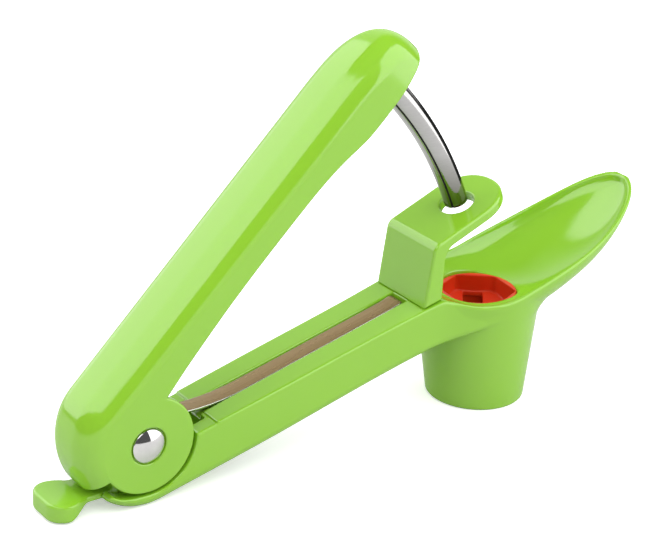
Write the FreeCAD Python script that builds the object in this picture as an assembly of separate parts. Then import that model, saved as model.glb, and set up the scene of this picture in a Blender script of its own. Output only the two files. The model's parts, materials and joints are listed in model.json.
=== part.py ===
"""Hand-held olive pitter: a slotted lower arm with a cup and a feeding scoop, a hollow
upper handle that carries a curved rod, and a leaf spring that holds the two open.

The model is laid out about the hinge pin: x runs from the hinge to the scoop, y is
across the tool and z is up. It is moved at the end, so that the origin is on the table
under the middle of the whole tool. All lengths are in millimetres, angles in degrees.
"""
import FreeCAD
import Part
import math
import os

V = FreeCAD.Vector
PIN = V(0, 0, 0)
ACROSS = V(0, 1, 0)
UP = V(0, 0, 1)

# --- general ---------------------------------------------------------------
WALL = 2.1                  # side walls of the green mouldings
FACE_GAP = 0.15             # between flat faces that slide on each other
FIT_GAP = 0.05              # radial, between round pieces that fit into each other
TURN_GAP = 0.08             # radial, where something turns
BEYOND = 60.0               # how far a cutting tool runs past what it cuts
OVERSHOOT = 1.0             # the same where it must stay close
SMOOTH_STEPS = 8            # steps along a curve that is drawn through points

# --- hinge -----------------------------------------------------------------
PIN_HEIGHT = 17.3           # pin above the table, which is also the heel's radius
HEEL_START = 229.0          # where the heel begins, seen round the pin
EAR_RADIUS = 13.2
EAR_GAP = 0.4               # between an ear's rim and its recess in the arm
SHANK_RADIUS = 2.5
SHANK_BORE = 1.5
SLEEVE_WALL = 0.65
RIVET_HEAD_RADIUS = 4.6
RIVET_DOME = 1.5
RIVET_RIM = 0.5             # straight edge of the head under its dome
HEAD_RECESS = 0.8
CAP_STEM = 9.0
CAP_END_GAP = 0.5           # free space behind the stem

# --- upper handle ----------------------------------------------------------
OPEN_ANGLE = 45.3           # handle above the table when the tool is open
HANDLE_WIDTH = 19.4
CROWN = 19.5                # crown's distance from the line through the pin
CROWN_WALL = 2.2
CROWN_CORNER = 6.4
BACK_END = 214.5            # where the back wall ends, seen round the pin, tool open
BACK_RUN_OUT = 12.0         # its hollow runs on this far
HANDLE_LENGTH = 123.6
TIP_DROP = 29.0             # length over which the crown curves down to the tip
TIP_TAPER = 19.0            # length over which the tip narrows
TIP_POWER = 2.6             # fullness of the tip's curve seen from the side; 2 is an ellipse
EDGE_START = 5.1            # lower edge's distance from the pin line, at the ear
EDGE_FROM = 12.1
EDGE_MIDDLE = 7.4
EDGE_KINK = 6.6
SKIRT = 4.0                 # the same for the deeper skirt near the tip
MIDDLE_AT = 48.0
KINK_AT = 82.0
SKIRT_AT = 95.5
TOOTH_REACH = 2.7           # lock tooth inside the back wall
TOOTH_ANGLE = 9.5
TOOTH_WIDTH = 10.0
RIB_WALL = 1.6
RIB_RAISE = 1.5             # the rib across the boss stays this far above the skirt

# --- rod and its guide -----------------------------------------------------
ROD_ARC = 110.0             # the rod is bent to this radius about the pin
ROD_RADIUS = 3.3
ROD_BORE = 2.4
ROD_TIP = 22.8              # angle of the rod's free end above the table, tool open
ROD_ROOT_DEPTH = 10.0       # length held in the handle's boss
ROD_END_GAP = 0.1           # angle left free behind the rod's held end
BOSS_WALL = 2.0
GUIDE_ANGLE = 22.7          # the guide plate points at the pin
GUIDE_TOP = -0.3            # plate's upper face, measured from that line
GUIDE_PLATE = 3.1
GUIDE_END = 122.8
GUIDE_WIDTH = 21.6
GUIDE_CORNER = 8.0
GUIDE_HOLE = 4.8
GUIDE_FRONT_FOOT = 84.5     # front face at the arm
GUIDE_FRONT_TOP = 87.5      # front face under the plate
GUIDE_BEVEL = 1.5
GUIDE_FOOT_LENGTH = 5.9
GUIDE_INNER_LEAN = 0.3      # back of the foot leans this far from the arm to the plate
GUIDE_INNER_REACH = 3.0     # how far its rounded corner reaches along both faces
TENON_LENGTH = 4.0
TENON_DEPTH = 2.4
TENON_WIDTH = 14.0

# --- lower arm -------------------------------------------------------------
ARM_SLOPE = 14.3
ARM_TOP = 3.1               # top face below the pin, measured square to the slope
ARM_HINGE_WIDTH = 19.5
ARM_CUP_WIDTH = 22.4
ARM_EDGE_ROUND = 2.6        # rounding of heel and arm along their lower edges
RAIL_STEP_AT = 20.0         # the top steps down between here and the hinge
RAIL_STEP = 1.3
SLOT_WIDTH = 6.2
SLOT_DEPTH = 2.0
SLOT_FLOOR = 1.6
CORE_RIBS = 3
CHEEK_RADIUS = 9.5
CHEEK_BACK_ANGLE = 216.0    # back corner of the tongue, seen round the pin
CHEEK_BACK_RADIUS = 8.5

# --- leaf spring -----------------------------------------------------------
SPRING_WIDTH = 5.4
SPRING_THICK = 0.7
SPRING_LEG_END = 83.0       # end of the lower leg, along the tool
SPRING_SUNK = 0.6           # lower leg's upper face below the arm's top
SPRING_RISE_AT = 33.0       # where the lower leg starts to curve out of the slot
SPRING_EASE = 64.0          # radius of that curve
SPRING_EASE_TURN = 26.2
SPRING_OVER_PIN = 7.0
SPRING_BEND = 4.6
SPRING_BEND_TURN = 118.72
SPRING_UPPER_LEG = 57.0
SPRING_CURL = 18.0
SPRING_CURL_TURN = 14.0

# --- cup, insert and scoop -------------------------------------------------
CUP_FOOT_X = 113.2
CUP_FOOT_RADIUS = 13.9
CUP_TOP_X = 111.5
CUP_TOP_RADIUS = 17.98
CUP_TOP_Z = 16.0
CUP_WALL = 2.0
CUP_EDGE_ROUND = 1.0        # rounding of the ring the cup stands on
MOUTH_X = 111.6
MOUTH_RADIUS = 11.0
LEDGE_Z = 3.0
LEDGE_THICK = 1.8
LEDGE_RADIUS = 9.0
INSERT_TOP_Z = 14.2
INSERT_WALL = 1.2
SEAT_Z = 9.1                # seat's rim; it dips towards the hole
SEAT_DIP = 1.2
SEAT_THICK = 1.3
SEAT_HOLE_X = 110.8
SEAT_HOLE_RADIUS = 5.1
SEAT_GAPS = 4                # gaps between the flaps
GAP_WIDTH = 5.6
GAP_REACH = 9.0
WELL_SIDES = 6              # flat walls above the flaps
WELL_TURN = 53.4            # direction of the first wall and the first gap
WELL_WALL = 1.65            # thickness at the middle of a wall
WELL_CORNER_WALL = 0.85
RIM_WALL = 1.8
# stations along the scoop: x, half width of rim, rim height, hull depth, bowl depth
SCOOP = [
    (91.5, 11.2, 19.6, 8.0, 0.7),
    (97.0, 13.8, 17.8, 10.0, 1.8),
    (104.0, 17.0, 17.2, 11.5, 2.6),
    (112.0, 17.6, 18.0, 12.5, 3.8),
    (124.0, 17.2, 21.2, 12.7, 7.0),
    (133.0, 16.7, 24.0, 11.0, 8.2),
    (142.0, 15.6, 27.3, 9.3, 7.2),
    (150.0, 13.4, 31.0, 7.0, 5.0),
    (157.5, 9.1, 35.2, 4.6, 2.9),
    (161.5, 5.0, 37.8, 3.2, 1.7),
    (163.2, 1.7, 38.9, 2.2, 1.0),
]
BOWL_END = 1.6              # the bowl stops this far inside the scoop's tip
BOWL_LIFT = 0.02            # keeps the bowl's flat top above the rim
RIM_RUN_OUT = 5.0           # the line of the rim runs on this far past the tip

# --- lock slide ------------------------------------------------------------
PADDLE_END = -25.7
PADDLE_NECK = -15.2
PADDLE_WIDTH = 14.4
PADDLE_CORNER = 5.0
PADDLE_TOP = -12.0
PADDLE_THICK = 4.4
PADDLE_DISH = 0.6
PLATE_TOP = -12.2
PLATE_THICK = 1.7
PLATE_WIDTH = 10.2
RISER_OUTER = -8.2
RISER_INNER = -6.2
FINGER_TOP = -3.15
FINGER_THICK = 2.4
FINGER_END = -12.4
FINGER_ROOM = 1.0           # free height above the finger


# --- helpers ---------------------------------------------------------------
def polar(angle, radius, across=0.0):
    """A point round the pin; the angle is counted from x towards z."""
    a = math.radians(angle)
    return V(radius * math.cos(a), across, radius * math.sin(a))


def along(angle, length, offset):
    """A point at a length along a direction from the pin, and an offset square to it."""
    a = math.radians(angle)
    x = length * math.cos(a) - offset * math.sin(a)
    z = length * math.sin(a) + offset * math.cos(a)
    return V(x, 0, z)


def rest(shape, angle):
    """Turns a shape that lies along x up to an angle about the pin."""
    turned = shape.copy()
    turned.rotate(PIN, ACROSS, -angle)
    return turned


def loop(*parts):
    """A closed wire through points; three points in a tuple are an arc."""
    edges = []
    first = None
    last = None
    for part in parts:
        arc = isinstance(part, tuple)
        begin = part[0] if arc else part
        if last is not None and last.distanceToPoint(begin) > 1e-6:
            edges.append(Part.makeLine(last, begin))
        if arc:
            edges.append(Part.Arc(*part).toShape())
        last = part[2] if arc else part
        first = first or begin
    if last.distanceToPoint(first) > 1e-6:
        edges.append(Part.makeLine(last, first))
    return Part.Wire(edges)


def prism(wire, width):
    """A wire in the x-z plane, made solid across the tool about its middle."""
    face = Part.Face(wire)
    face.translate(V(0, -width / 2, 0))
    return face.extrude(V(0, width, 0))


def upright(wire, low, high):
    """A wire in the x-y plane, made solid from one height to another."""
    face = Part.Face(wire)
    face.translate(V(0, 0, low))
    return face.extrude(V(0, 0, high - low))


def axle(radius, low, high):
    """A cylinder on the pin's line between two places across the tool."""
    return Part.makeCylinder(radius, high - low, V(0, low, 0), ACROSS)


def block(x, y, z):
    """A box from three (low, high) pairs."""
    return Part.makeBox(x[1] - x[0], y[1] - y[0], z[1] - z[0], V(x[0], y[0], z[0]))


def rounded_outline(start, end, width, corner):
    """A plan outline along x, square at its start and rounded at its end."""
    half = width / 2
    sign = 1 if end > start else -1
    inner = end - sign * corner
    mid = corner * (1 - math.sqrt(0.5))
    a = V(start, -half, 0)
    b = (V(inner, -half, 0), V(end - sign * mid, -half + mid, 0), V(end, -half + corner, 0))
    c = (V(end, half - corner, 0), V(end - sign * mid, half - mid, 0), V(inner, half, 0))
    return loop(a, b, c, V(start, half, 0))


def curved(points):
    """A smooth edge through points."""
    spline = Part.BSplineCurve()
    spline.interpolate(points)
    return spline.toShape()


def rounded_corner(corner, way_in, way_out, reach):
    """An arc that replaces a corner; the two ways lead from the corner along its sides."""
    half = way_in.getAngle(way_out) / 2
    bisector = (way_in + way_out).normalize()
    middle = reach / math.cos(half) - reach * math.tan(half)
    return corner + way_in * reach, corner + bisector * middle, corner + way_out * reach


def arm_line(x, below):
    """Height of a line that runs along the arm, that far below its slope through the pin."""
    slope = math.radians(ARM_SLOPE)
    return x * math.tan(slope) - below / math.cos(slope)


# --- derived values --------------------------------------------------------
RECESS_RADIUS = EAR_RADIUS + EAR_GAP
EAR_INNER = HANDLE_WIDTH / 2 - WALL
CHEEK_OUTER = EAR_INNER - FACE_GAP
SLEEVE_RADIUS = SHANK_RADIUS + FIT_GAP + SLEEVE_WALL
BACK_INNER = CROWN - CROWN_WALL
HEAD_SEAT = HANDLE_WIDTH / 2 - HEAD_RECESS
CORE_TOP = ARM_TOP + SLOT_DEPTH + SLOT_FLOOR
SLOT_BOTTOM = ARM_TOP + SLOT_DEPTH
BOSS_RADIUS = ROD_RADIUS + BOSS_WALL
ROD_ROOT = OPEN_ANGLE + math.degrees(math.asin((SKIRT + ROD_ROOT_DEPTH) / ROD_ARC))
PLATE_BOTTOM = PLATE_TOP - PLATE_THICK
INSERT_RADIUS = MOUTH_RADIUS - FIT_GAP
WELL_FLAT = INSERT_RADIUS - WELL_WALL


# --- hinge pieces ----------------------------------------------------------
def rivet_head(side):
    """A low dome on a short rim, seated in the ear's recess; side is +1 or -1."""
    rim = axle(RIVET_HEAD_RADIUS, HEAD_SEAT + FACE_GAP, HEAD_SEAT + FACE_GAP + RIVET_RIM)
    ball = (RIVET_HEAD_RADIUS ** 2 + RIVET_DOME ** 2) / (2 * RIVET_DOME)
    top = HEAD_SEAT + FACE_GAP + RIVET_RIM + RIVET_DOME
    dome = Part.makeSphere(ball, V(0, top - ball, 0))
    dome = dome.common(axle(RIVET_HEAD_RADIUS, HEAD_SEAT + FACE_GAP + RIVET_RIM, top + OVERSHOOT))
    head = rim.fuse(dome).removeSplitter()
    if side < 0:
        head = head.mirror(PIN, ACROSS)
    return head


def make_hinge_rivet():
    shank = axle(SHANK_RADIUS, -HEAD_SEAT - FACE_GAP, HEAD_SEAT + FACE_GAP)
    bore = axle(SHANK_BORE, HEAD_SEAT - CAP_STEM, HEAD_SEAT + OVERSHOOT)
    return rivet_head(-1).fuse(shank).cut(bore).removeSplitter()


def make_hinge_rivet_cap():
    low = HEAD_SEAT - CAP_STEM + CAP_END_GAP
    stem = axle(SHANK_BORE - FIT_GAP, low, HEAD_SEAT + FACE_GAP + RIVET_RIM)
    return rivet_head(1).fuse(stem).removeSplitter()


def make_hinge_sleeve():
    tube = axle(SLEEVE_RADIUS, -CHEEK_OUTER, CHEEK_OUTER)
    return tube.cut(axle(SHANK_RADIUS + FIT_GAP, -BEYOND, BEYOND))


# --- upper handle, modelled along x and then turned to its open angle --------
def handle_section(width, height, corner):
    """Cross-section seen along the handle, from the pin line up to the crown."""
    half = width / 2
    mid = corner * (1 - math.sqrt(0.5))
    right = (V(0, half, height - corner), V(0, half - mid, height - mid), V(0, half - corner, height))
    left = (V(0, corner - half, height), V(0, mid - half, height - mid), V(0, -half, height - corner))
    return Part.Face(loop(V(0, -half, 0), V(0, half, 0), right, left))


def handle_hull(width, height, corner, length, first, last):
    """Straight run plus the back that turns round the pin, between two local angles."""
    section = handle_section(width, height, corner)
    straight = section.extrude(V(length, 0, 0))
    back = section.copy()
    back.rotate(PIN, ACROSS, 90 - first)
    back = back.revolve(PIN, ACROSS, first - last)
    return straight, back


def tip_side(length, height, drop):
    """Side outline of the crown's fall towards the tip."""
    points = []
    for i in range(SMOOTH_STEPS + 1):
        t = math.radians(90 * i / SMOOTH_STEPS)
        x = length - drop + drop * math.sin(t) ** (2 / TIP_POWER)
        z = SKIRT + (height - SKIRT) * math.cos(t) ** (2 / TIP_POWER)
        points.append(V(x, 0, z))
    return points


def lower_edge():
    """Lower edge of the side walls, from the ear to the kink before the skirt."""
    return [
        V(EDGE_FROM, 0, EDGE_START),
        V(MIDDLE_AT, 0, EDGE_MIDDLE),
        V(KINK_AT, 0, EDGE_KINK),
    ]


def side_outline(length, height, drop, open_below):
    """Closed side view of the straight run."""
    tip = tip_side(length, height, drop)
    if open_below:
        bottom = [V(length, 0, -BEYOND), V(0, 0, -BEYOND)]
        edges = [curved(tip)]
        corners = [tip[-1]] + bottom + [V(0, 0, height), tip[0]]
    else:
        edge = lower_edge()
        edges = [curved(tip), Part.Arc(edge[2], edge[1], edge[0]).toShape()]
        corners = [edge[0], V(0, 0, 0), V(0, 0, height), tip[0]]
        edges.append(Part.makeLine(tip[-1], V(SKIRT_AT, 0, SKIRT)))
        edges.append(Part.makeLine(V(SKIRT_AT, 0, SKIRT), edge[2]))
    for a, b in zip(corners, corners[1:]):
        edges.append(Part.makeLine(a, b))
    return Part.Wire(Part.__sortEdges__(edges))


def tip_plan(length, width, taper):
    """Plan view of the straight run, with a half-ellipse as its tip."""
    half = width / 2
    points = []
    for i in range(2 * SMOOTH_STEPS + 1):
        t = math.radians(90 * (i - SMOOTH_STEPS) / SMOOTH_STEPS)
        points.append(V(length - taper + taper * math.cos(t), half * math.sin(t), 0))
    ends = [points[-1], V(-BEYOND, half, 0), V(-BEYOND, -half, 0), points[0]]
    edges = [curved(points)]
    for a, b in zip(ends, ends[1:]):
        edges.append(Part.makeLine(a, b))
    return Part.Wire(edges)


def rod_boss():
    """Socket that holds the rod, with a rib to each wall and one across."""
    skirt_angle = math.degrees(math.asin(SKIRT / ROD_ARC))
    top_angle = math.degrees(math.asin((CROWN - CROWN_WALL / 2) / ROD_ARC))
    circle = Part.Wire(Part.makeCircle(BOSS_RADIUS, polar(skirt_angle, ROD_ARC), UP))
    circle.rotate(polar(skirt_angle, ROD_ARC), ACROSS, -skirt_angle)
    boss = Part.Face(circle).revolve(PIN, ACROSS, skirt_angle - top_angle)
    at = ROD_ARC - RIB_WALL / 2
    half = EAR_INNER + WALL / 2
    high = CROWN - CROWN_WALL / 2
    across = block((at, at + RIB_WALL), (-half, half), (SKIRT + RIB_RAISE, high))
    return boss.fuse(across)


def make_upper_handle():
    first = 90.0
    last = BACK_END - OPEN_ANGLE
    straight, back = handle_hull(HANDLE_WIDTH, CROWN, CROWN_CORNER, HANDLE_LENGTH, first, last)
    side = prism(side_outline(HANDLE_LENGTH, CROWN, TIP_DROP, False), 2 * HANDLE_WIDTH)
    plan = upright(tip_plan(HANDLE_LENGTH, HANDLE_WIDTH, TIP_TAPER), -BEYOND, BEYOND)
    outer = straight.common(side).common(plan)
    ears = axle(EAR_RADIUS, -HANDLE_WIDTH / 2, HANDLE_WIDTH / 2)
    outer = outer.fuse([back, ears])

    inner_width = HANDLE_WIDTH - 2 * WALL
    inner_corner = CROWN_CORNER - WALL
    inner_length = HANDLE_LENGTH - CROWN_WALL
    beyond = last + BACK_RUN_OUT
    run, curve = handle_hull(inner_width, BACK_INNER, inner_corner, inner_length, first, beyond)
    run_side = prism(side_outline(inner_length, BACK_INNER, TIP_DROP - CROWN_WALL, True), HANDLE_WIDTH)
    run_plan = upright(tip_plan(inner_length, inner_width, TIP_TAPER - CROWN_WALL / 2), -BEYOND, BEYOND)
    run = run.common(run_side).common(run_plan)
    between_ears = axle(RECESS_RADIUS, -EAR_INNER, EAR_INNER)
    below = block((0, inner_length), (-EAR_INNER, EAR_INNER), (-EAR_RADIUS, EDGE_MIDDLE))
    below = below.common(run_plan)
    hollow = run.fuse([curve, between_ears, below])
    handle = outer.cut(hollow)

    boss = rod_boss().common(outer)
    handle = handle.fuse(boss)
    handle = handle.cut(rod_bend(ROD_RADIUS + FIT_GAP, 0, ROD_ROOT - OPEN_ANGLE + ROD_END_GAP))

    wedge = Part.Face(loop(
        polar(last - TOOTH_ANGLE, BACK_INNER - TOOTH_REACH),
        polar(last - TOOTH_ANGLE, CROWN - CROWN_WALL / 2),
        polar(last, CROWN - CROWN_WALL / 2),
        polar(last, BACK_INNER - TOOTH_REACH),
    ))
    wedge.translate(V(0, -TOOTH_WIDTH / 2, 0))
    handle = handle.fuse(wedge.extrude(V(0, TOOTH_WIDTH, 0)))

    handle = handle.cut(axle(SHANK_RADIUS + TURN_GAP, -BEYOND, BEYOND))
    for low, high in ((-BEYOND, -HEAD_SEAT), (HEAD_SEAT, BEYOND)):
        handle = handle.cut(axle(RIVET_HEAD_RADIUS + EAR_GAP, low, high))
    return rest(handle.removeSplitter(), OPEN_ANGLE)


# --- rod and guide -----------------------------------------------------------
def rod_bend(radius, low, high):
    """A round bar bent about the pin, between two angles."""
    circle = Part.Wire(Part.makeCircle(radius, V(ROD_ARC, 0, 0), UP))
    bar = Part.Face(circle).revolve(PIN, ACROSS, low - high)
    return rest(bar, low)


def make_plunger_rod():
    tube = rod_bend(ROD_RADIUS, ROD_TIP, ROD_ROOT)
    return tube.cut(rod_bend(ROD_BORE, ROD_TIP - OVERSHOOT, ROD_ROOT + OVERSHOOT))


def guide_foot():
    """Where the guide's foot stands on the arm: front, back."""
    return GUIDE_FRONT_FOOT, GUIDE_FRONT_FOOT + GUIDE_FOOT_LENGTH


def tenon(gap):
    """The block under the guide's foot, or with a gap the socket that takes it."""
    front, back = guide_foot()
    middle = (front + back) / 2
    half = TENON_LENGTH / 2 + gap
    x = (middle - half, middle + half)
    y = (-TENON_WIDTH / 2 - gap, TENON_WIDTH / 2 + gap)
    low = arm_line(middle, ARM_TOP) - TENON_DEPTH - gap
    return block(x, y, (low, arm_line(back, ARM_TOP) + OVERSHOOT))


def make_rod_guide():
    front, back = guide_foot()
    top_front = along(GUIDE_ANGLE, 0, GUIDE_TOP)
    slope = math.radians(GUIDE_ANGLE)
    corner_z = top_front.z + (GUIDE_FRONT_TOP - top_front.x) * math.tan(slope)
    corner = V(GUIDE_FRONT_TOP, 0, corner_z)
    foot_front = V(front, 0, arm_line(front, ARM_TOP))
    foot_back = V(back, 0, arm_line(back, ARM_TOP))
    down = (foot_front - corner).normalize()
    plate_way = V(math.cos(slope), 0, math.sin(slope))
    end_top = along(GUIDE_ANGLE, GUIDE_END, GUIDE_TOP)
    end_low = along(GUIDE_ANGLE, GUIDE_END, GUIDE_TOP - GUIDE_PLATE)
    under = along(GUIDE_ANGLE, 0, GUIDE_TOP - GUIDE_PLATE)
    inner_x = back + GUIDE_INNER_LEAN
    inner = V(inner_x, 0, under.z + (inner_x - under.x) * math.tan(slope))
    inner_down = (foot_back - inner).normalize()
    outline = loop(
        foot_front,
        corner + down * GUIDE_BEVEL,
        corner + plate_way * GUIDE_BEVEL,
        end_top,
        end_low,
        rounded_corner(inner, plate_way, inner_down, GUIDE_INNER_REACH),
        foot_back,
    )
    guide = prism(outline, GUIDE_WIDTH)
    plan = rounded_outline(0, GUIDE_END, GUIDE_WIDTH, GUIDE_CORNER)
    guide = guide.common(rest(upright(plan, -BEYOND, BEYOND), GUIDE_ANGLE))
    low = GUIDE_TOP - GUIDE_PLATE - OVERSHOOT
    hole = Part.makeCylinder(GUIDE_HOLE, GUIDE_PLATE + 2 * OVERSHOOT, V(ROD_ARC, 0, low), UP)
    guide = guide.cut(rest(hole, GUIDE_ANGLE))
    return guide.fuse(tenon(0)).removeSplitter()


# --- lower arm ---------------------------------------------------------------
def heel_arc():
    """Round underside of the heel, from its back to where the arm's straight line starts."""
    tangent = 270 + ARM_SLOPE
    angles = (HEEL_START, (HEEL_START + tangent) / 2, tangent)
    return tuple(polar(angle, PIN_HEIGHT) for angle in angles)


def arm_side(end):
    """Side view of heel and arm: round under the hinge, then straight to the cup."""
    low_top = ARM_TOP + RAIL_STEP
    return loop(
        heel_arc(),
        V(end, 0, arm_line(end, PIN_HEIGHT)),
        V(end, 0, arm_line(end, ARM_TOP)),
        V(RAIL_STEP_AT, 0, arm_line(RAIL_STEP_AT, ARM_TOP)),
        V(RAIL_STEP_AT - RAIL_STEP, 0, arm_line(RAIL_STEP_AT - RAIL_STEP, low_top)),
        V(0, 0, arm_line(0, low_top)),
    )


def lower_edges(arm):
    """The long edges under heel and arm."""
    found = []
    for edge in arm.Edges:
        middle = edge.valueAt((edge.FirstParameter + edge.LastParameter) / 2)
        ends = edge.Vertexes[0].Point, edge.Vertexes[-1].Point
        level = abs(ends[0].y - ends[1].y) < abs(ends[0].x - ends[1].x)
        if level and middle.z < arm_line(middle.x, (ARM_TOP + PIN_HEIGHT) / 2):
            found.append(edge)
    return found


def half_width_at(x):
    """Half width of the arm, which grows from the hinge to the cup."""
    span = GUIDE_FRONT_FOOT
    share = max(x, 0) / span
    return (ARM_HINGE_WIDTH + (ARM_CUP_WIDTH - ARM_HINGE_WIDTH) * share) / 2


def arm_plan(start, end, inset):
    """Plan view of the arm, with its widening."""
    points = [V(start, half_width_at(start) - inset, 0), V(0, half_width_at(0) - inset, 0)]
    points.append(V(end, half_width_at(end) - inset, 0))
    mirrored = [V(p.x, -p.y, 0) for p in reversed(points)]
    return loop(*(points + mirrored))


def scoop_solid(inset, depth_column, lift, end_gap):
    """A boat-shaped body through the scoop's stations, closed on top at its rim."""
    sections = []
    first = SCOOP[0][0]
    length = SCOOP[-1][0] - first
    for station in SCOOP:
        x = first + (station[0] - first) * (length - end_gap) / length
        half = max(station[1] - inset, RIM_WALL / 2)
        rim = station[2] + lift
        depth = station[depth_column] + lift
        points = []
        for i in range(SMOOTH_STEPS + 1):
            t = math.radians(180 * i / SMOOTH_STEPS)
            points.append(V(x, half * math.cos(t), rim - depth * math.sin(t)))
        top = Part.makeLine(points[-1], points[0])
        sections.append(Part.Wire([curved(points), top]))
    return Part.makeLoft(sections, True, False)


def rim_cap():
    """Everything above the scoop's rim, which is trimmed away."""
    points = [V(s[0], 0, s[2]) for s in SCOOP]
    lead = V(points[0].x - OVERSHOOT, 0, points[0].z)
    tail = points[-1] + (points[-1] - points[-3]).normalize() * RIM_RUN_OUT
    top = [V(tail.x, 0, BEYOND), V(lead.x, 0, BEYOND)]
    edges = [Part.makeLine(lead, points[0]), curved(points), Part.makeLine(points[-1], tail)]
    corners = [tail] + top + [lead]
    for a, b in zip(corners, corners[1:]):
        edges.append(Part.makeLine(a, b))
    return prism(Part.Wire(edges), 2 * BEYOND)


def cone(bottom_x, bottom_z, bottom_radius, top_x, top_z, top_radius):
    """A solid between two level circles, which need not be above each other."""
    low = Part.Wire(Part.makeCircle(bottom_radius, V(bottom_x, 0, bottom_z), UP))
    high = Part.Wire(Part.makeCircle(top_radius, V(top_x, 0, top_z), UP))
    return Part.makeLoft([low, high], True, True)


def cup_x(z):
    """Middle of the cup at a height; its axis leans a little towards the hinge."""
    share = (z + PIN_HEIGHT) / (CUP_TOP_Z + PIN_HEIGHT)
    return CUP_FOOT_X + (CUP_TOP_X - CUP_FOOT_X) * share


def arm_core():
    """The hollow under the arm, open below and divided by ribs."""
    first = RECESS_RADIUS + WALL
    last = CUP_TOP_X - CUP_TOP_RADIUS + CUP_WALL
    outline = loop(
        V(first, 0, arm_line(first, CORE_TOP)),
        V(last, 0, arm_line(last, CORE_TOP)),
        V(last, 0, -BEYOND),
        V(first, 0, -BEYOND),
    )
    core = prism(outline, 2 * BEYOND)
    core = core.common(upright(arm_plan(first, last, WALL), -2 * BEYOND, BEYOND))
    pitch = (last - first) / (CORE_RIBS + 1)
    for i in range(CORE_RIBS):
        x = first + pitch * (i + 1)
        core = core.cut(block((x, x + RIB_WALL), (-BEYOND, BEYOND), (-2 * BEYOND, BEYOND)))
    return core


def cheeks():
    """The tongue between the ears: heel floor, pin boss and the walls beside the slide."""
    low_top = ARM_TOP + RAIL_STEP
    reach = RAIL_STEP_AT - RAIL_STEP
    outline = loop(
        heel_arc(),
        V(reach, 0, arm_line(reach, PIN_HEIGHT)),
        V(reach, 0, arm_line(reach, low_top)),
        V(0, 0, arm_line(0, low_top)),
        polar(CHEEK_BACK_ANGLE, CHEEK_BACK_RADIUS),
    )
    tongue = prism(outline, 2 * CHEEK_OUTER)
    return tongue.fuse(axle(CHEEK_RADIUS, -CHEEK_OUTER, CHEEK_OUTER))


def slide_pocket():
    """Room inside the heel for the lock slide and its travel."""
    half = PLATE_WIDTH / 2 + FACE_GAP
    inner = RISER_INNER + FACE_GAP
    return block((-BEYOND, inner), (-half, half), (PLATE_BOTTOM - FACE_GAP, FINGER_TOP + FINGER_ROOM))


def spring_slot():
    """Slot in the arm's top for the spring, open at the hinge end."""
    front = guide_foot()[0] - FACE_GAP
    outline = loop(
        V(-BEYOND, 0, arm_line(CHEEK_RADIUS, SLOT_BOTTOM)),
        V(CHEEK_RADIUS, 0, arm_line(CHEEK_RADIUS, SLOT_BOTTOM)),
        V(front, 0, arm_line(front, SLOT_BOTTOM)),
        V(front, 0, BEYOND),
        V(-BEYOND, 0, BEYOND),
    )
    return prism(outline, SLOT_WIDTH)


def make_lower_arm():
    end = CUP_FOOT_X
    arm = prism(arm_side(end), 2 * BEYOND)
    arm = arm.common(upright(arm_plan(-BEYOND, end, 0), -BEYOND, BEYOND))
    arm = arm.makeFillet(ARM_EDGE_ROUND, lower_edges(arm))
    arm = arm.cut(axle(RECESS_RADIUS, -BEYOND, BEYOND))
    arm = arm.cut(arm_core())
    arm = arm.fuse(cheeks())
    arm = arm.cut(slide_pocket())
    arm = arm.cut(spring_slot())
    arm = arm.cut(axle(SLEEVE_RADIUS + FIT_GAP, -BEYOND, BEYOND))

    cup = cone(CUP_FOOT_X, -PIN_HEIGHT, CUP_FOOT_RADIUS, CUP_TOP_X, CUP_TOP_Z, CUP_TOP_RADIUS)
    rims = [edge for edge in cup.Edges if edge.BoundBox.ZMax < OVERSHOOT - PIN_HEIGHT]
    cup = cup.makeFillet(CUP_EDGE_ROUND, rims)
    arm = arm.fuse([cup, scoop_solid(0, 3, 0, 0)])
    arm = arm.cut(rim_cap())
    arm = arm.cut(scoop_solid(RIM_WALL, 4, BOWL_LIFT, BOWL_END))

    mouth = Part.makeCylinder(MOUTH_RADIUS, BEYOND, V(MOUTH_X, 0, LEDGE_Z), UP)
    hole = Part.makeCylinder(LEDGE_RADIUS, BEYOND, V(MOUTH_X, 0, -BEYOND / 2), UP)
    under = LEDGE_Z - LEDGE_THICK
    inner_foot = CUP_FOOT_RADIUS - CUP_WALL
    share = (under + PIN_HEIGHT) / (CUP_TOP_Z + PIN_HEIGHT)
    inner_top = CUP_FOOT_RADIUS + (CUP_TOP_RADIUS - CUP_FOOT_RADIUS) * share - CUP_WALL
    chute = cone(CUP_FOOT_X, -PIN_HEIGHT, inner_foot, cup_x(under), under, inner_top)
    arm = arm.cut([mouth, hole, chute])
    arm = arm.cut(tenon(FIT_GAP))
    return arm.removeSplitter()


# --- leaf spring ---------------------------------------------------------------
def strip(start, heading, runs, thickness, width):
    """A flat strip along straight runs and bends; a bend is (radius, turn), + is left."""
    left = []
    right = []
    here = start
    half = thickness / 2
    for run in runs:
        a = math.radians(heading)
        ahead = V(math.cos(a), 0, math.sin(a))
        side = V(-math.sin(a), 0, math.cos(a))
        if isinstance(run, tuple):
            radius, turn = run
            sign = 1 if turn > 0 else -1
            centre = here + side * (sign * radius)
            spokes = []
            for share in (0, 0.5, 1):
                b = math.radians(heading + turn * share)
                spokes.append(V(math.sin(b), 0, -math.cos(b)) * sign)
            for line, bend in ((left, radius - sign * half), (right, radius + sign * half)):
                line.append(Part.Arc(*[centre + spoke * bend for spoke in spokes]).toShape())
            here = centre + spokes[2] * radius
            heading += turn
        else:
            there = here + ahead * run
            for line, offset in ((left, side * half), (right, side * -half)):
                line.append(Part.makeLine(here + offset, there + offset))
            here = there
    edges = left + right
    for index in (0, -1):
        point = 0 if index == 0 else -1
        edges.append(Part.makeLine(left[index].Vertexes[point].Point, right[index].Vertexes[point].Point))
    return prism(Part.Wire(Part.__sortEdges__(edges)), width)


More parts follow.
